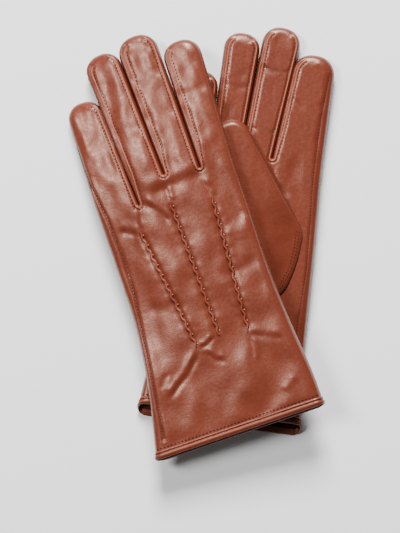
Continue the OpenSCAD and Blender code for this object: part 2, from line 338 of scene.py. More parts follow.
def setLayer(bm, name, values):
    # keeps a number or a vector on each vertex, under a name that a material can read
    kinds = bm.verts.layers
    layer = kinds.float_vector.new(name) if values.ndim > 1 else kinds.float.new(name)
    for vert, value in zip(bm.verts, values):
        vert[layer] = Vector(value) if values.ndim > 1 else float(value)


def treeOf(outline, above=-math.inf):
    tree = kdtree.KDTree(len(outline))
    for i, p in enumerate(outline):
        if p[1] > above:
            tree.insert((p[0], p[1], 0), i)
    tree.balance()
    return tree


fingerSeam = {
    "inset": 1.1,               # from the outline to the seam, on the side without the wide gusset
    "widen": 22,                # the wide gusset is full this far from the crotch
    "tipGap": 5.5,              # the seam starts this far from a fingertip's middle
    "fade": 4,
}


def markOutline(glove, outline):
    # starts the outline at the cuff's index side, and finds the gaps between the fingers
    outline = np.roll(outline, -int(np.argmin(np.hypot(*(outline - [55, -16]).T))), axis=0)
    tangent = np.roll(outline, -1, axis=0) - np.roll(outline, 1, axis=0)
    tangent /= np.hypot(*tangent.T)[:, None]
    tips = []
    for name in fingerOrder:
        f = glove["fingers"][name]
        root, tip = np.array(f[:2]), np.array(f[3:5])
        ahead = (tip - root) / np.hypot(*(tip - root))
        tips.append(int(np.argmin(np.hypot(*(outline - tip - ahead * f[5]).T))))
    seam = np.zeros(len(outline))
    inset = np.full(len(outline), 1.0)
    gaps = []
    for order in range(3):
        a, b = tips[order], tips[order + 1]
        part = outline[a : b + 1]
        fade = np.minimum(np.hypot(*(part - outline[a]).T), np.hypot(*(part - outline[b]).T))
        seam[a : b + 1] = soft((fade - fingerSeam["tipGap"]) / fingerSeam["fade"])
        bottom = a + int(np.argmin(part[:, 1]))
        wide = soft((outline[:, 1] - outline[bottom, 1]) / fingerSeam["widen"])
        farSide = glove["farInset"] * wide + fingerSeam["inset"] * (1 - wide)
        inset[a:bottom] = farSide[a:bottom]
        inset[bottom : b + 1] = fingerSeam["inset"]
        gaps.append((a, b))
    glove["outline"] = outline
    glove["outward"] = np.stack([tangent[:, 1], -tangent[:, 0]], axis=1)
    glove["seam"] = seam
    glove["seamInset"] = inset
    glove["gaps"] = gaps
    glove["tree"] = treeOf(outline, outlineStart)


def fingerOf(glove, xy, onHand=True):
    # which finger each point is on, by the slots between the fingers, and -1 on the hand
    found = np.zeros(len(xy), int)
    for order, crotch in enumerate(glove["crotches"]):
        before = tipCorners(glove, fingerOrder[order])[1] - Vector(crotch)
        after = tipCorners(glove, fingerOrder[order + 1])[0] - Vector(crotch)
        slot = before.normalized() + after.normalized()
        found += slot.x * (xy[:, 1] - crotch[1]) - slot.y * (xy[:, 0] - crotch[0]) > 0
    if not onHand:
        return found
    cuts = np.array([glove["cuts"][name] for name in fingerOrder])
    return np.where(xy[:, 1] > cuts[found], found, -1)


def nearOutline(glove, xy):
    found = [glove["tree"].find((p[0], p[1], 0)) for p in xy]
    return np.array([f[2] for f in found]), np.array([f[1] for f in found])


def pastCuff(glove, xy):
    # how far a point lies from the cuff's line, into the glove
    turn = math.radians(glove["cuffTurn"])
    return (xy[:, 1] - cuffStart) * math.cos(turn) - xy[:, 0] * math.sin(turn)


def cuffPlane(glove, inside=0.0):
    # a point of the cuff's line, and the way out of the glove there
    turn = math.radians(glove["cuffTurn"])
    return Vector((0, cuffStart + inside, 0)), Vector((math.sin(turn), -math.cos(turn), 0))


def sagAt(glove, x, y):
    # the little-finger side sinks where nothing lies underneath
    return glove["sag"] * soft((-x - 12) / 38) * soft((y - 30) / 60)


def settle(glove, points):
    # the slant of the cuff's two lips, the droop of each finger, and the sag
    x, y, z = points.T.copy()
    y = y + glove["cuffSlant"] * (z / gloveThickness) * (1 - soft((y + 3) / 45))
    nearest = fingerOf(glove, points[:, :2], onHand=False)
    for order, name in enumerate(fingerOrder):
        f = glove["fingers"][name]
        droop = math.sin(math.radians(f[7]))
        past = y - f[6]
        ramp = np.where(past > 6, past, np.clip(past + 6, 0, None) ** 2 / 24)
        on = (nearest == order) & (past > -6)
        z = np.where(on, z - ramp * droop, z)
        y = np.where(on, y + (points[:, 2] - gloveThickness / 2) * droop * soft((past + 6) / 12), y)
    return np.stack([x, y, z - sagAt(glove, x, y)], axis=1)


def roundRise(t):
    return np.sqrt(1 - (1 - np.clip(t, 0, 1)) ** 2)


skinShape = {
    "side": 2.3,                # half the height of a side wall, and what a finger seam adds to it
    "seamSide": 1.2,
    "round": 4.8,               # how far in the hand is full, and what the fingers add to that
    "fingerRound": 3.6,
    "swell": 0.7,               # of the side walls
    "heights": {"left": (0, None), "right": (0.06, 10.95)},  # the right glove stays under the left one
}
tucks = {
    "lines": [((-29, 133), (-12, 54.5)), ((-6, 146), (3, 58.5)), ((20, 141.5), (21, 56))],
    "stitch": 6.8,              # from bead to bead
    "dip": 1.0,
    "wander": 0.55,
    "radius": {"left": 0.85, "right": 0.4},
    "rise": {"left": 0.55, "right": -0.35},
    "beadRise": {"left": 0.45, "right": -0.35},
    "bead": 0.48,
}


def shapeSkin(glove, flat, detail=True):
    # gives each flat point its place on the glove, and how much darker the leather is painted there: shade
    # in its grooves and creases, and the strip outside each finger seam
    xy, level = flat[:, :2], flat[:, 2]
    upper = level > 0.5
    wall = (level > 0.01) & (level < 0.99)
    d, nearest = nearOutline(glove, xy)
    d[wall] = 0
    seam, inset = glove["seam"][nearest], glove["seamInset"][nearest]

    # thickness: round at the sides, fuller in the fingers
    inFinger = soft((xy[:, 1] - 142) / 32)
    handFull = np.where(upper, glove["handTop"], glove["handBottom"])
    fingerFull = np.where(upper, glove["fingerTop"], glove["fingerBottom"])
    full = handFull + (fingerFull - handFull) * inFinger
    edge = skinShape["side"] + skinShape["seamSide"] * seam
    rise = roundRise(d / (skinShape["round"] + skinShape["fingerRound"] * inFinger))
    stepped = 0.5 * roundRise(d / 0.9) + 0.5 * roundRise((d - inset) / 6)
    height = edge + (full - edge) * (rise + (stepped - rise) * seam)
    height[wall] = np.abs(2 * level[wall] - 1) * edge[wall]
    sign = np.where(upper, 1, -1)
    swell = skinShape["swell"] * np.sin(np.pi * level)
    spread = xy + glove["outward"][nearest] * swell[:, None]
    points = np.column_stack([spread, gloveThickness / 2 + sign * height])

    # soft dents of worn leather, and long ones down the fingers
    rest = np.column_stack([xy, level * gloveThickness])
    seed = glove["seed"]
    dents = 0.8 * waves(rest, (24, 30, 60), seed) + 0.4 * waves(rest, (10, 14, 60), seed + 9)
    fingerDents = 0.6 * waves(rest, (8, 26, 60), seed + 21) + 0.35 * waves(rest, (8, 9, 60), seed + 33)
    lift = (dents * (1 - inFinger) + fingerDents * inFinger) * soft(d / 7)
    dark = np.zeros(len(flat))

    if detail:
        # each leaf is drawn in at its finger seam's stitches
        lift -= 0.3 * seam * bump(d - inset - 1.5, 0.5) * ~wall
        # painted shade in the groove at the stitches, and the strip outside the seam painted darker
        dark += seam * (0.3 * bump(d - inset - 1.3, 0.5) + 0.3 * soft((inset - d) / 0.5))
        for line, width, depth, ridge in glove["creases"]:
            distance, side, along = strokeField(xy, line)
            fade = soft(along / 0.25) * soft((1 - along) / 0.25) * (1 + 0.3 * np.sin(9 * along)) * upper
            signed = distance * side
            lift += fade * (ridge * bump(signed - 1.6 * width, 1.4 * width) - depth * bump(signed, width))
            # painted shade along the bottom of each crease, deeper creases darker
            dark += 0.3 * fade * depth * bump(signed, 0.8 * width)
        # the leather dips on each side of a tuck, and puckers at its stitches
        onBack = upper if glove["side"] == "left" else ~upper
        for start, end in tucks["lines"]:
            distance, side, along = strokeField(xy, [start, end])
            length = math.dist(start, end)
            pucker = 0.08 * np.cos(along * length / tucks["stitch"] * 2 * np.pi + side)
            fade = onBack * soft(along * length / 6) * soft((1 - along) * length / 6)
            lift -= fade * (tucks["dip"] * bump(distance, 1.7) + pucker * bump(distance - 2.6, 2.2))
            # painted shade in the dips on each side of the tuck
            dark += fade * (0.5 * bump(distance - 1.0, 0.6) + 0.06 * bump(distance, 3))
        seamLine = strokeField(xy, glove["sideSeam"])[0]
        lift -= upper * glove["seamDepth"] * bump(seamLine, 0.9)
        # painted shade in the side seam's groove, as dark as the groove is deep
        dark += upper * 0.75 * glove["seamDepth"] * bump(seamLine, 0.8)
    lift *= soft(pastCuff(glove, xy) / 8) * np.where(upper, 1, 0.35)
    points[:, 2] += sign * lift * ~wall
    points[:, 2] = np.clip(points[:, 2], *skinShape["heights"][glove["side"]])
    return settle(glove, points), rest, np.clip(dark, 0, 1)


def nodeOf(tree, kind, **inputs):
    node = tree.nodes.new(kind)
    for name, value in inputs.items():
        if hasattr(node, name):
            setattr(node, name, value)
        else:
            node.inputs[name.replace("_", " ")].default_value = value
    return node


def leatherGroup():
    # grain and soft mottling of dyed nappa leather, read from the millimetres at rest, and the darkening
    # from the shade attribute: painted shade in creases and grooves, and darker strips along the seams
    tree = bpy.data.node_groups.new("leatherGrain", "ShaderNodeTree")
    for name, kind, way in (
        ("Tone", "Color", "INPUT"), ("Deep", "Color", "INPUT"), ("Roughness", "Float", "INPUT"),
        ("Color", "Color", "OUTPUT"), ("Roughness", "Float", "OUTPUT"), ("Normal", "Vector", "OUTPUT"),
    ):
        tree.interface.new_socket(name=name, in_out=way, socket_type="NodeSocket" + kind)
    link = tree.links.new
    source = tree.nodes.new("NodeGroupInput")
    out = tree.nodes.new("NodeGroupOutput")
    rest = nodeOf(tree, "ShaderNodeAttribute", attribute_name="rest")
    shade = nodeOf(tree, "ShaderNodeAttribute", attribute_name="shade")
    pores = nodeOf(tree, "ShaderNodeTexVoronoi", Scale=1.25)
    fine = nodeOf(tree, "ShaderNodeTexNoise", Scale=0.45, Detail=4.0)
    broad = nodeOf(tree, "ShaderNodeTexNoise", Scale=0.045, Detail=3.0)
    for texture in (pores, fine, broad):
        link(rest.outputs["Vector"], texture.inputs["Vector"])
    mottle = nodeOf(tree, "ShaderNodeMapRange", From_Min=0.3, From_Max=0.7, To_Min=0.0, To_Max=0.22)
    link(broad.outputs["Fac"], mottle.inputs["Value"])
    depth = nodeOf(tree, "ShaderNodeMath", operation="ADD", use_clamp=True)
    link(mottle.outputs["Result"], depth.inputs[0])
    link(shade.outputs["Fac"], depth.inputs[1])
    mix = nodeOf(tree, "ShaderNodeMix", data_type="RGBA")
    link(depth.outputs[0], mix.inputs["Factor"])
    link(source.outputs["Tone"], mix.inputs[6])
    link(source.outputs["Deep"], mix.inputs[7])
    link(mix.outputs[2], out.inputs["Color"])
    rough = nodeOf(tree, "ShaderNodeMapRange", From_Min=0.3, From_Max=0.7, To_Min=-0.05, To_Max=0.07)
    link(fine.outputs["Fac"], rough.inputs["Value"])
    roughness = nodeOf(tree, "ShaderNodeMath", operation="ADD")
    link(rough.outputs["Result"], roughness.inputs[0])
    link(source.outputs["Roughness"], roughness.inputs[1])
    link(roughness.outputs[0], out.inputs["Roughness"])
    poreBump = nodeOf(tree, "ShaderNodeBump", Strength=0.2, Distance=0.0001)
    fineBump = nodeOf(tree, "ShaderNodeBump", Strength=0.3, Distance=0.0003)
    link(pores.outputs["Distance"], poreBump.inputs["Height"])
    link(fine.outputs["Fac"], fineBump.inputs["Height"])
    link(poreBump.outputs["Normal"], fineBump.inputs["Normal"])
    link(fineBump.outputs["Normal"], out.inputs["Normal"])
    return tree


leatherGrain = leatherGroup()


def newMaterial(name):
    material = bpy.data.materials.new(name)
    material.use_nodes = True
    return material, material.node_tree, material.node_tree.nodes["Principled BSDF"]


def leatherMaterial(name, tone, deep, roughness):
    material, tree, shader = newMaterial(name)
    grain = nodeOf(tree, "ShaderNodeGroup", node_tree=leatherGrain)
    grain.inputs["Tone"].default_value = (*tone, 1)
    grain.inputs["Deep"].default_value = (*deep, 1)
    grain.inputs["Roughness"].default_value = roughness
    tree.links.new(grain.outputs["Color"], shader.inputs["Base Color"])
    tree.links.new(grain.outputs["Roughness"], shader.inputs["Roughness"])
    tree.links.new(grain.outputs["Normal"], shader.inputs["Normal"])
    shader.inputs["Specular IOR Level"].default_value = 0.62
    shader.inputs["Specular Tint"].default_value = (1.0, 0.66, 0.54, 1)
    return material


def knitMaterial(name, tone, deep, size, strength):
    # fine ribs of thread in two directions
    material, tree, shader = newMaterial(name)
    link = tree.links.new
    where = nodeOf(tree, "ShaderNodeTexCoord")
    ribs = nodeOf(tree, "ShaderNodeTexWave", Scale=size, Distortion=1.5)
    rows = nodeOf(tree, "ShaderNodeTexWave", bands_direction="Y", Scale=size * 0.8, Distortion=1.5)
    link(where.outputs["Object"], ribs.inputs["Vector"])
    link(where.outputs["Object"], rows.inputs["Vector"])
    both = nodeOf(tree, "ShaderNodeMath", operation="MULTIPLY")
    link(ribs.outputs["Fac"], both.inputs[0])
    link(rows.outputs["Fac"], both.inputs[1])
    mix = nodeOf(tree, "ShaderNodeMix", data_type="RGBA")
    mix.inputs[6].default_value = (*deep, 1)
    mix.inputs[7].default_value = (*tone, 1)
    link(both.outputs[0], mix.inputs["Factor"])
    link(mix.outputs[2], shader.inputs["Base Color"])
    relief = nodeOf(tree, "ShaderNodeBump", Strength=strength, Distance=0.0004)
    link(both.outputs[0], relief.inputs["Height"])
    link(relief.outputs["Normal"], shader.inputs["Normal"])
    shader.inputs["Roughness"].default_value = 0.85
    shader.inputs["Specular IOR Level"].default_value = 0.2
    return material


leatherLooks = {
    # material, colour, darker colour for the mottling and the painted shade in creases, roughness
    "leather": ("cognacLeather", (0.106, 0.0196, 0.0092), (0.052, 0.0078, 0.0032), 0.345),
    "side_leather": ("sideLeather", (0.11, 0.02, 0.0093), (0.05, 0.0075, 0.003), 0.4),
    # a lighter copy of the leather for the piping: a painted highlight along the finger seams
    "edgeLeather": ("edgeLeather", (0.25, 0.06, 0.031), (0.13, 0.024, 0.011), 0.4),
    "binding_leather": ("bindingLeather", (0.135, 0.025, 0.0115), (0.045, 0.006, 0.0024), 0.36),
}
knitLooks = {
    # material, colour, colour between the threads, ribs, relief
    # the stitches are real thread, painted darker than the leather for the shade of the stitch holes
    "thread": ("brownThread", (0.045, 0.010, 0.005), (0.018, 0.004, 0.002), 900, 0.4),
    # the beads' thread is painted lighter than the real thread: a painted highlight on each bead
    "pointThread": ("pointThread", (0.5, 0.19, 0.11), (0.3, 0.09, 0.045), 900, 0.3),
    "lining": ("knitLining", (0.07, 0.026, 0.013), (0.035, 0.012, 0.006), 700, 0.3),
    "touch_fabric": ("touchFabric", (0.16, 0.155, 0.15), (0.07, 0.07, 0.07), 500, 0.5),
    "label": ("labelSatin", (0.62, 0.59, 0.54), (0.48, 0.45, 0.41), 800, 0.2),
}
materials = {slot: leatherMaterial(*look) for slot, look in leatherLooks.items()}
materials.update({slot: knitMaterial(*look) for slot, look in knitLooks.items()})
print("materials made")


def camel(text):
    words = text.split("_")
    return words[0] + "".join(word.capitalize() for word in words[1:])


bendReach = 5.5                 # a finger's leather bends over this much on each side of its hinge
floorGap = 0.00002


def attach(obj, glove, finger):
    # a finger's piece bends from the hand to the finger across its hinge
    body = glove["side"] + "_hand"
    name = fingerOrder[finger]
    if finger < 0 or f"{glove['side']}_{name}" not in frame["bodies"]:
        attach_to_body(obj, body)
        return
    hinge = glove["fingers"][name][6]
    start, end = (
        glove["place"] @ Vector((0, hinge + reach, gloveThickness / 2)) for reach in (-bendReach, bendReach)
    )
    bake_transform(obj, body, f"{glove['side']}_{name}", start=start, end=end)


def addPiece(bm, name, glove, finger, slot, nodes=(), look=None, keepNormals=False):
    # a bmesh in the glove's own millimetres becomes a piece that moves with the glove
    mesh = bpy.data.meshes.new(name)
    bm.to_mesh(mesh)
    mesh.transform(glove["place"])
    for v in mesh.vertices:
        v.co.z = max(v.co.z, floorGap)  # pressed flat where it lies on the floor
    mesh.polygons.foreach_set("use_smooth", [True] * len(mesh.polygons))
    if keepNormals:
        turn = glove["place"].to_3x3().normalized()
        normals = np.zeros(len(mesh.vertices) * 3)
        mesh.attributes["skinNormal"].data.foreach_get("vector", normals)
        normals = normals.reshape(-1, 3) @ np.array(turn).T
        mesh.attributes.remove(mesh.attributes["skinNormal"])
        mesh.normals_split_custom_set_from_vertices([Vector(n) for n in normals])
    mesh.materials.append(materials[look or slot])
    obj = bpy.data.objects.new(name, mesh)
    bpy.context.scene.collection.objects.link(obj)
    attach(obj, glove, finger)
    if nodes:
        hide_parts(*nodes)
    return obj


def onlyFaces(bm, keep):
    part = bm.copy()
    part.faces.ensure_lookup_table()
    bmesh.ops.delete(part, geom=[f for f, k in zip(part.faces, keep) if not k], context="FACES")
    return part


def placeName(finger):
    return "hand" if finger < 0 else fingerOrder[finger]


skinMesh = {
    "step": 1.0,                # along the outline
    "rings": [0.5, 0.5, 0.5, 0.3, 0.3, 0.3, 0.35, 0.35, 0.4, 0.4, 0.6, 0.9],
    "cell": 1.2,
    "hemRows": [0.3, 0.6, 0.9, 1.2, 1.5, 1.8, 2.1, 2.35, 2.6, 2.9, 3.2, 3.6, 4.0, 4.3],
}


def makeSkin(glove):
    side = glove["side"]
    bm, outline = flatSkin(
        cornersOf(glove), skinMesh["step"], skinMesh["rings"], skinMesh["cell"], cuffPlane(glove),
        skinMesh["hemRows"],
    )
    markOutline(glove, outline)
    centres = np.array([f.calc_center_median() for f in bm.faces])
    finger = fingerOf(glove, centres[:, :2])
    d, nearest = nearOutline(glove, centres[:, :2])
    wall = (centres[:, 2] > 0.01) & (centres[:, 2] < 0.99)
    gusset = (glove["seam"][nearest] > 0.4) & ((d < glove["seamInset"][nearest]) | wall)
    topFace = centres[:, 2] > 0.5
    onBack = topFace if side == "left" else ~topFace
    kind = np.where(gusset, 2, np.where(onBack, 0, 1))
    points, rest, dark = shapeSkin(glove, arrayOf(bm))
    setPoints(bm, points)
    setLayer(bm, "rest", rest)
    setLayer(bm, "shade", dark)
    bm.normal_update()
    setLayer(bm, "skinNormal", np.array([v.normal for v in bm.verts]))
    glove["skin"] = BVHTree.FromBMesh(bm)
    glove["skinMesh"] = bm
    glove["flatRest"] = rest
    for order in range(-1, 4):
        for k, part in enumerate(("back", "palm", "fourchettes")):
            if order < 0:
                node = f"{side}_{part}_panel" if k < 2 else f"{side}_fourchette_roots"
            else:
                node = f"{side}_{fingerOrder[order]}_{part}" + ("_leaf" if k < 2 else "")
            piece = onlyFaces(bm, (finger == order) & (kind == k))
            slot = "leather" if k < 2 else "side_leather"
            addPiece(piece, camel(node), glove, order, slot, [node], keepNormals=True)
    print(side, "skin made", len(bm.faces), "faces")


liningShape = {
    "step": 2.5, "rings": [1.5, 2.0, 2.5], "cell": 5.0,
    "inside": 3.5,              # from the cuff's edge
    "depth": 2.5,               # under the leather of the hand, and how much less in the fingers
    "fingerLess": 1.1,
    "cloth": 0.0006,
}


def makeLining(glove):
    # a coarser and smaller glove inside the leather
    side = glove["side"]
    cuff = cuffPlane(glove, liningShape["inside"])
    bm, _ = flatSkin(cornersOf(glove), liningShape["step"], liningShape["rings"], liningShape["cell"], cuff)
    centres = np.array([f.calc_center_median() for f in bm.faces])
    finger = fingerOf(glove, centres[:, :2])
    points, _, _ = shapeSkin(glove, arrayOf(bm), detail=False)
    setPoints(bm, points)
    bm.normal_update()
    inward = np.array([v.normal for v in bm.verts])
    depth = liningShape["depth"] - liningShape["fingerLess"] * soft((points[:, 1] - 142) / 32)
    setPoints(bm, arrayOf(bm) - depth[:, None] * inward)
    for order in range(-1, 4):
        part = onlyFaces(bm, finger == order)
        node = f"{side}_{placeName(order)}_lining"
        piece = addPiece(part, camel(node), glove, order, "lining", [node])
        cloth = piece.modifiers.new("cloth", "SOLIDIFY")
        cloth.thickness = liningShape["cloth"]
        cloth.offset = -1
        if order < 0:
            glove["lining"] = BVHTree.FromBMesh(part)
    print(side, "lining made")


hemFold = {
    # millimetres past the cuff's line
    "width": 4.35,
    "roll": 0.8,                # height of the rolled edge, its middle and half its width
    "rollMiddle": 1.1,
    "rollHalf": 1.3,
    "band": 0.6,                # height of the flatter band, its start and its width
    "bandStart": 2.4,
    "bandWidth": 1.9,
    "grooves": [(2.45, 0.35, 0.9), (4.35, 0.4, 0.7)],  # middle, half width, darkness of the painted shade in each groove
    "turnWall": 0.45,           # radius of the turn to the inside at the walls, and what the faces add
    "turnFace": 0.55,
    "inside": 3.0,              # how deep the hem goes in
}


def makeBinding(glove):
    # the folded hem at the cuff: a rolled edge, a groove and a flatter band, turned over to the inside
    hem = pastCuff(glove, glove["flatRest"][:, :2])
    source = glove["skinMesh"]
    bm = onlyFaces(source, [all(hem[v.index] < hemFold["width"] for v in f.verts) for f in source.faces])
    bm.normal_update()
    away = cuffPlane(glove)[1]
    restLayer = bm.verts.layers.float_vector["rest"]
    shadeLayer = bm.verts.layers.float["shade"]
    normalLayer = bm.verts.layers.float_vector["skinNormal"]

    def flatSpot(v):
        return np.array([v[restLayer][:2]])

    for v in bm.verts:
        along = pastCuff(glove, flatSpot(v))[0]
        fromRoll = (along - hemFold["rollMiddle"]) / hemFold["rollHalf"]
        roll = hemFold["roll"] * math.sqrt(max(0, 1 - fromRoll**2))
        onBand = min(1, max(0, (along - hemFold["bandStart"]) / hemFold["bandWidth"]))
        band = hemFold["band"] * math.sin(math.pi * onBand)
        v.co += v[normalLayer] * (0.05 + max(roll, band))
        # painted shade in the hem's grooves
        v[shadeLayer] = sum(dark * bump(along - middle, half) for middle, half, dark in hemFold["grooves"])
    edge = [
        e for e in bm.edges
        if e.is_boundary and all(pastCuff(glove, flatSpot(v))[0] < 0.1 for v in e.verts)
    ]
    # the turn goes round in steps of 30 degrees, and then straight in
    steps = [(a, a + 30, 0) for a in range(0, 180, 30)] + [(180, 180, hemFold["inside"])]
    for a, b, deeper in steps:
        grown = bmesh.ops.extrude_edge_only(bm, edges=edge)["geom"]
        fresh = set(grown)
        edge = [
            g for g in grown
            if isinstance(g, bmesh.types.BMEdge) and g.is_boundary and all(v in fresh for v in g.verts)
        ]
        a, b = math.radians(a), math.radians(b)
        for v in {v for e in edge for v in e.verts}:
            onFace = abs(v[normalLayer].z) > 0.6
            inside = nearOutline(glove, flatSpot(v))[0][0] if onFace else 0
            radius = hemFold["turnWall"] + hemFold["turnFace"] * soft(inside / 4)
            out = radius * (math.sin(b) - math.sin(a)) - deeper
            v.co += away * out - v[normalLayer] * radius * (math.cos(a) - math.cos(b))
    bmesh.ops.recalc_face_normals(bm, faces=list(bm.faces))
    node = glove["side"] + "_cuff_binding"
    addPiece(bm, camel(node), glove, -1, "binding_leather", [node])


def onSkin(glove, x, y, upward=True, surface="skin"):
    # the point of the glove's upper or lower face over a place, and its normal
    way = Vector((0, 0, -1 if upward else 1))
    point, normal, _, _ = glove[surface].ray_cast(Vector((x, y, 0)) - way * 40, way)
    return point, normal


def resample(line, step):
    line = np.array(line, float)
    lengths = np.concatenate([[0], np.cumsum(np.hypot(*np.diff(line, axis=0).T))])
    count = max(2, int(lengths[-1] / step) + 1)
    at = np.linspace(0, lengths[-1], count)
    return np.stack([np.interp(at, lengths, line[:, k]) for k in (0, 1)], axis=1)


def tube(points, radii):
    # a round cord through the points, as a bmesh
    curve = bpy.data.curves.new("tube", "CURVE")
    curve.dimensions = "3D"
    curve.bevel_depth = 1.0
    curve.bevel_resolution = 2
    curve.use_fill_caps = True
    spline = curve.splines.new("POLY")
    spline.points.add(len(points) - 1)
    for target, p, r in zip(spline.points, points, radii):
        target.co = (*p, 1)
        target.radius = r
    holder = bpy.data.objects.new("tube", curve)
    mesh = bpy.data.meshes.new_from_object(holder)
    bm = bmesh.new()
    bm.from_mesh(mesh)
    bpy.data.objects.remove(holder)
    bpy.data.curves.remove(curve)
    bpy.data.meshes.remove(mesh)
    return bm


def joined(parts):
    # puts several bmeshes in one
    whole = bmesh.new()
    for part in parts:
        mesh = bpy.data.meshes.new("part")
        part.to_mesh(mesh)
        whole.from_mesh(mesh)
        bpy.data.meshes.remove(mesh)
        part.free()
    return whole


def restOf(bm):
    # a small piece reads its pattern from its own place
    setLayer(bm, "rest", arrayOf(bm))
    setLayer(bm, "shade", np.zeros(len(bm.verts)))


stitches = {
    # pitch, length and width of the threads
    "left": (2.1, 1.3, 0.75),
    "right": (2.1, 1.3, 0.5),
    "side": (1.9, 1.1, 0.6),
    "hem": (2.3, 1.5, 0.75),
    "thumb": (2.0, 1.2, 0.6),
}
seamLines = {
    "piping": 0.25,             # millimetres inside the seam
    "pipingRadius": 0.52,
    "stitches": 1.45,
    "hem": 5.4,                 # millimetres past the cuff's line
    "sink": 0.05,
}


def stitchRow(glove, bm, line, kind, upward=True, surface="skin"):
    # short threads laid along a line on the skin
    pitch, length, width = stitches[kind]
    spots = resample(line, pitch)
    for a, b in zip(spots[:-1], spots[1:]):
        middle = (a + b) / 2
        point, normal = onSkin(glove, middle[0], middle[1], upward, surface)
        if point is None:
            continue
        ahead = Vector((*(b - a), 0)).normalized()
        side = normal.cross(ahead).normalized()
        ahead = side.cross(normal)
        turn = Matrix((ahead * length / 2, side * width / 2, normal * width / 2)).transposed().to_4x4()
        spot = Matrix.Translation(point - normal * seamLines["sink"])
        bmesh.ops.create_uvsphere(bm, u_segments=8, v_segments=6, radius=1, matrix=spot @ turn)


def seamPaths(glove, extra):
    # the line of each finger seam, from one fingertip round the crotch to the next
    for a, b in glove["gaps"]:
        part = slice(a, b + 1)
        inset = glove["seamInset"][part] + extra
        line = glove["outline"][part] - glove["outward"][part] * inset[:, None]
        yield line[glove["seam"][part] > 0.12]


def splitByFinger(glove, line, step):
    # runs of a line that lie on the hand or on one finger
    line = resample(line, step)
    owner = fingerOf(glove, line)
    cuts = np.flatnonzero(np.diff(owner)) + 1
    for run in np.split(np.arange(len(line)), cuts):
        last = min(run[-1] + 2, len(line))
        yield owner[run[0]], line[run[0] : last]


def makeSeams(glove):
    side = glove["side"]
    for upward in (True, False):
        face = "Top" if upward else "Under"
        piping = {}
        threads = {}
        for line in seamPaths(glove, seamLines["piping"]):
            for owner, run in splitByFinger(glove, line, 1.0):
                spots = [onSkin(glove, x, y, upward) for x, y in run]
                spots = [p - n * seamLines["sink"] for p, n in spots if p]
                if len(spots) > 2:
                    cord = tube(spots, [seamLines["pipingRadius"]] * len(spots))
                    piping.setdefault(owner, []).append(cord)
        for line in seamPaths(glove, seamLines["stitches"]):
            for owner, run in splitByFinger(glove, line, 1.05):
                if len(run) > 2:
                    stitchRow(glove, threads.setdefault(owner, bmesh.new()), run, side, upward)
        for owner, parts in piping.items():
            bm = joined(parts)
            restOf(bm)
            name = f"{side}{placeName(owner).capitalize()}Piping{face}"
            # the piping takes the lighter leather, a painted highlight
            addPiece(bm, name, glove, owner, "leather", look="edgeLeather")
        for owner, bm in threads.items():
            addPiece(bm, f"{side}{placeName(owner).capitalize()}Stitches{face}", glove, owner, "thread")
    # the side seam, on the face that shows
    for owner, run in splitByFinger(glove, glove["sideSeam"], 1.0):
        bm = bmesh.new()
        stitchRow(glove, bm, run, "side")
        addPiece(bm, f"{side}{placeName(owner).capitalize()}SideStitches", glove, owner, "thread")
    slope = math.tan(math.radians(glove["cuffTurn"]))
    hemLine = [(x, cuffStart + seamLines["hem"] + x * slope) for x in np.arange(-53, 54, 1.0)]
    bm = bmesh.new()
    stitchRow(glove, bm, [(x, y + 0.9 * glove["cuffSlant"]) for x, y in hemLine], "hem")
    stitchRow(glove, bm, hemLine, "hem", upward=False)
    addPiece(bm, side + "HemStitches", glove, -1, "thread")
    print(side, "seams made")


def makeTucks(glove):
    # three drawn-up ridges that wander from stitch to stitch, with a bead of thread at each
    side = glove["side"]
    upward = side == "left"
    pitch = tucks["stitch"]
    ridges = []
    beads = bmesh.new()
    for order, (start, end) in enumerate(tucks["lines"]):
        start, end = np.array(start, float), np.array(end, float)
        length = np.hypot(*(end - start))
        ahead = (end - start) / length
        across = np.array([-ahead[1], ahead[0]])
        at = np.arange(0, length, 0.6)
        wobble = tucks["wander"] * np.sin(at / pitch * 2 * np.pi + order) * soft(at / 4)
        line = start + at[:, None] * ahead + wobble[:, None] * across
        hits = [onSkin(glove, x, y, upward) for x, y in line]
        spots = np.array([p + n * tucks["rise"][side] for p, n in hits])
        ends = np.concatenate([spots[:1]] * 3 + [spots] + [spots[-1:]] * 3)
        spots = sum(ends[k : k + len(spots)] for k in range(7)) / 7
        spots[:, :2] = line
        fade = soft(np.minimum(at, length - at) / 5)
        ridges.append(tube(spots, tucks["radius"][side] * (0.5 + 0.5 * fade)))
        for s in np.arange(pitch / 2, length - 1, pitch):
            point, normal = onSkin(glove, *(start + s * ahead + 1.25 * across), upward)
            if point:
                spot = Matrix.Translation(point + normal * tucks["beadRise"][side])
                bmesh.ops.create_uvsphere(
                    beads, u_segments=8, v_segments=6, radius=tucks["bead"], matrix=spot
                )
    bm = joined(ridges)
    restOf(bm)
    addPiece(bm, side + "PointTucks", glove, -1, "binding_leather", [side + "_point_tucks"])
    node = side + "_point_stitches"
    # the beads take the lighter thread, a painted highlight
    addPiece(beads, side + "PointStitches", glove, -1, "thread", [node], look="pointThread")


def roundedSlab(corners, step, rings, cell, shape):
    # a closed pocket from a flat outline, whose heights come from the distance to that outline
    bm, outline = flatSkin(corners, step, rings, cell)
    tree = treeOf(outline)
    flat = arrayOf(bm)
    d = np.array([tree.find((p[0], p[1], 0))[2] for p in flat])
    points, dark = shape(flat, d)
    setPoints(bm, points)
    setLayer(bm, "rest", flat * np.array([1, 1, 8]))
    setLayer(bm, "shade", dark)
    bm.normal_update()
    return bm


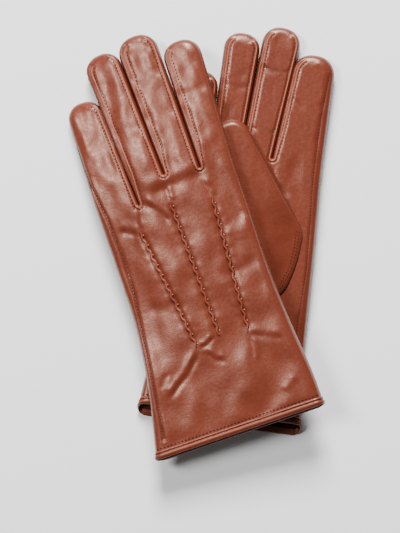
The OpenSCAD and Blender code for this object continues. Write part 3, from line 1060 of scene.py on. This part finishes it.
thumbShapes = {
    # outline corners x, y, rounding; the sewn edge, where the leather lies low; bottom and thickness
    "right": {
        "corners": [
            (14, 74, 7), (27, 84, 6), (32, 104, 10), (32.5, 123, 3.5), (-17.5, 189, 9.5), (-36, 178, 10),
            (-1, 86, 8),
        ],
        "sewn": [(33, 121), (32, 104), (27, 86), (14, 75), (2, 84)],
        "bottom": 11.0,
        "thick": 7.6,
        "tip": (-20, 171, 12.0),    # the touch pad's middle
    },
    "left": {
        "corners": [(-7, 82, 8), (17, 78, 8), (19, 116, 8), (-16, 156, 9), (-37, 153, 9), (-34, 136, 6)],
        "sewn": [(19, 114), (18, 84), (5, 79)],
        "bottom": -4.7,
        "thick": 4.3,
        "tip": (-26, 146, -1.5),
    },
}
thumbMesh = {
    # step along the outline, rings, cell
    "leather": (1.0, [0.5, 0.5, 0.6, 0.7, 0.8, 1.0], 1.4),
    "lining": (3.0, [1.5, 2.0], 5.0),
    "smaller": 0.88,            # size of the lining's outline
    "inside": 0.8,              # how far the lining lies under the leather
}


def makeThumb(glove):
    side = glove["side"]
    settings = thumbShapes[side]

    def shape(flat, d, inset=0.0):
        level = flat[:, 2]
        wall = (level > 0.01) & (level < 0.99)
        fromSewn = strokeField(flat[:, :2], settings["sewn"])[0]
        low = soft(fromSewn / 34)
        thick = settings["thick"]
        top = thick * (0.34 + 0.66 * roundRise(d / 4.5)) * (0.25 + 0.75 * low)
        rest = flat * np.array([1, 1, 8])
        broad = 0.45 * waves(rest, (14, 22, 40), glove["seed"] + 50)
        small = 0.2 * waves(rest, (7, 9, 40), glove["seed"] + 70)
        top = np.minimum(top + (broad + small) * soft(d / 6), thick)
        under = np.where(d < 2.5, 0.9 * (1 - d / 2.5) ** 2, 0) * low
        if inset:
            under, top = under + inset, np.maximum(top - inset - 0.6, under + inset + 0.3)
        z = np.where(level > 0.5, top, under)
        z[wall] = (under + (top - under) * level)[wall]
        z += settings["bottom"]
        if side == "left":
            z = np.minimum(z, -0.25 - inset) - sagAt(glove, flat[:, 0], flat[:, 1])
        dark = 0.5 * (level > 0.5) * bump(fromSewn - 0.5, 1.0)
        return np.column_stack([flat[:, :2], z]), dark

    def knit(flat, d):
        return shape(flat, d, thumbMesh["inside"])

    corners = settings["corners"]
    bm = roundedSlab(corners, *thumbMesh["leather"], shape)
    glove["thumb"] = BVHTree.FromBMesh(bm)
    addPiece(bm, side + "ThumbLeather", glove, -1, "leather", [side + "_thumb_leather"])
    if side == "right":
        bm = bmesh.new()
        for inner in (1.6, 3.4):
            line = [(31.5 - inner, 124), (31.8 - inner, 112), (30.6 - inner, 100), (26 - inner, 87)]
            line.append((15 - 0.6 * inner, 76.5 + 0.7 * inner))
            stitchRow(glove, bm, resample(line, 1.0), "thumb", surface="thumb")
        addPiece(bm, "rightThumbStitches", glove, -1, "thread")
    centre = np.mean([corner[:2] for corner in corners], axis=0)
    smaller = [
        (*(centre + thumbMesh["smaller"] * (np.array(corner[:2]) - centre)), 0.85 * corner[2])
        for corner in corners
    ]
    bm = roundedSlab(smaller, *thumbMesh["lining"], knit)
    addPiece(bm, side + "ThumbLining", glove, -1, "lining", [side + "_thumb_lining"])
    print(side, "thumb made")


pad = {
    "radius": 5.6,
    "thickness": 0.4,
    "rim": 0.15,
    "indexHigh": {"left": 1.0, "right": 10.0},
}


def makePads(glove):
    # touch pads hide in the tips of the thumb and the index finger, between leather and lining
    side = glove["side"]
    places = {
        "index": ((*glove["fingers"]["index"][3:5], pad["indexHigh"][side]), 0),
        "thumb": (thumbShapes[side]["tip"], -1),
    }
    for name, (spot, owner) in places.items():
        bm = bmesh.new()
        bmesh.ops.create_cone(
            bm, cap_ends=True, segments=40, radius1=pad["radius"], radius2=pad["radius"],
            depth=pad["thickness"], matrix=Matrix.Translation(spot),
        )
        rims = [e for e in bm.edges if abs(e.verts[0].co.z - e.verts[1].co.z) < 0.01]
        bmesh.ops.bevel(
            bm, geom=rims, offset=pad["rim"], offset_type="OFFSET", segments=2, profile=0.5,
            affect="EDGES", material=-1,
        )
        points = arrayOf(bm)
        if name == "index":
            points = settle(glove, points)
        else:
            points[:, 2] -= sagAt(glove, points[:, 0], points[:, 1])
        setPoints(bm, points)
        node = f"{side}_{name}_touch_pad"
        addPiece(bm, camel(node), glove, owner, "touch_fabric", [node])


label = {
    "size": (16, 11),
    "middle": {"left": (30, 15.5), "right": (30, 11.5)},
    "thickness": 0.25,
}


def makeLabel(glove):
    # a blank satin label against the inside of the back
    side = glove["side"]
    bm = bmesh.new()
    bmesh.ops.create_grid(bm, x_segments=16, y_segments=11, size=0.5)
    way = Vector((0, 0, 1 if side == "left" else -1))
    x, y = label["middle"][side]
    for v in bm.verts:
        v.co = Vector((x + label["size"][0] * v.co.x, y + label["size"][1] * v.co.y, gloveThickness / 2))
        hit = glove["lining"].ray_cast(v.co, way)[0]
        v.co = hit - way * 0.2 if hit else v.co + way * 2.6
    bmesh.ops.solidify(bm, geom=list(bm.faces), thickness=label["thickness"])
    bmesh.ops.recalc_face_normals(bm, faces=list(bm.faces))
    addPiece(bm, side + "CareLabel", glove, -1, "label", [side + "_care_label"])


for glove in (leftGlove, rightGlove):
    makeSkin(glove)
    makeLining(glove)
    makeBinding(glove)
    makeSeams(glove)
    makeTucks(glove)
    makeThumb(glove)
    makePads(glove)
    makeLabel(glove)


studio = {
    "floorSize": 2.0,
    "floorTone": 0.75,
    "world": 0.11,
    # place, width and height, power
    "lights": {
        "sideBox": ((-1.2, 0.5, 2.05), (0.45, 0.85), 60),
        "topBox": ((-0.1, 2.0, 1.65), (0.85, 0.85), 205),
    },
    "eye": (-0.0003, -0.0138, 1.6),
    "lens": 230,
}


def makeFloor():
    bm = bmesh.new()
    bmesh.ops.create_grid(bm, x_segments=1, y_segments=1, size=studio["floorSize"])
    mesh = bpy.data.meshes.new("floor")
    bm.to_mesh(mesh)
    material, _, shader = newMaterial("paleFloor")
    shader.inputs["Base Color"].default_value = (*[studio["floorTone"]] * 3, 1)
    shader.inputs["Roughness"].default_value = 0.9
    mesh.materials.append(material)
    floor = bpy.data.objects.new("floor", mesh)
    bpy.context.scene.collection.objects.link(floor)


def makeLight(name, spot, size, power):
    light = bpy.data.lights.new(name, "AREA")
    light.shape = "RECTANGLE"
    light.size, light.size_y = size
    light.energy = power
    lamp = bpy.data.objects.new(name, light)
    lamp.location = spot
    lamp.rotation_euler = (-Vector(spot)).to_track_quat("-Z", "Y").to_euler()
    bpy.context.scene.collection.objects.link(lamp)


makeFloor()
for name, (spot, size, power) in studio["lights"].items():
    makeLight(name, spot, size, power)
world = bpy.data.worlds.new("studio")
world.use_nodes = True
background = world.node_tree.nodes["Background"]
background.inputs["Color"].default_value = (1, 1, 1, 1)
background.inputs["Strength"].default_value = studio["world"]
bpy.context.scene.world = world
camera = bpy.data.cameras.new("camera")
camera.lens = studio["lens"]
camera.sensor_fit = "HORIZONTAL"
camera.sensor_width = 36
eye = bpy.data.objects.new("camera", camera)
eye.location = studio["eye"]
bpy.context.scene.collection.objects.link(eye)
bpy.context.scene.camera = eye
print("stage set")
